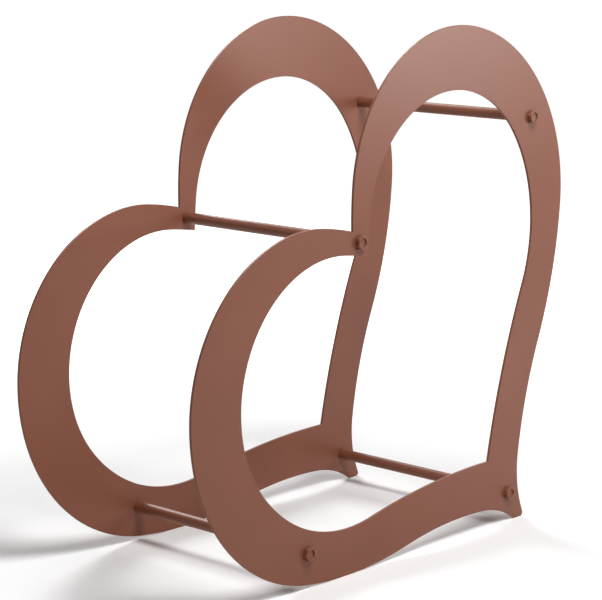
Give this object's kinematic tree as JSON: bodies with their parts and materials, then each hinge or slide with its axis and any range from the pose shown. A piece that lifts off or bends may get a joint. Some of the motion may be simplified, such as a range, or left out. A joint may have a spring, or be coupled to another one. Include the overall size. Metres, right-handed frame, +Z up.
{
  "type": "firewood log rack",
  "caption": "Free-standing firewood rack: tilted heart-shaped ring plates, front and rear, held apart by round cross rods bolted through their faces; logs lie through both rings.",
  "frame": {"origin": "on the floor, under the centre of the rack's overall box", "axes": "+X along the plates towards the toe's side, +Y from the front plate to the rear plate (along the logs), +Z up"},
  "size_m": [0.6021, 0.2646, 0.5709],
  "materials": {
    "plate": "satin brown powder coat with a fine texture",
    "rod": "satin brown powder coat",
    "bolt": "satin brown paint over a hexagon bolt"
  },
  "bodies": {
    "root": {"front_heart_plate": "plate", "rear_heart_plate": "plate", "cleft_cross_rod": "rod", "upper_cross_rod": "rod", "lower_cross_rod": "rod", "toe_cross_rod": "rod", "front_cleft_bolt": "bolt", "front_upper_bolt": "bolt", "front_lower_bolt": "bolt", "front_toe_bolt": "bolt", "rear_cleft_bolt": "bolt", "rear_upper_bolt": "bolt", "rear_lower_bolt": "bolt", "rear_toe_bolt": "bolt"}
  },
  "joints": []
}
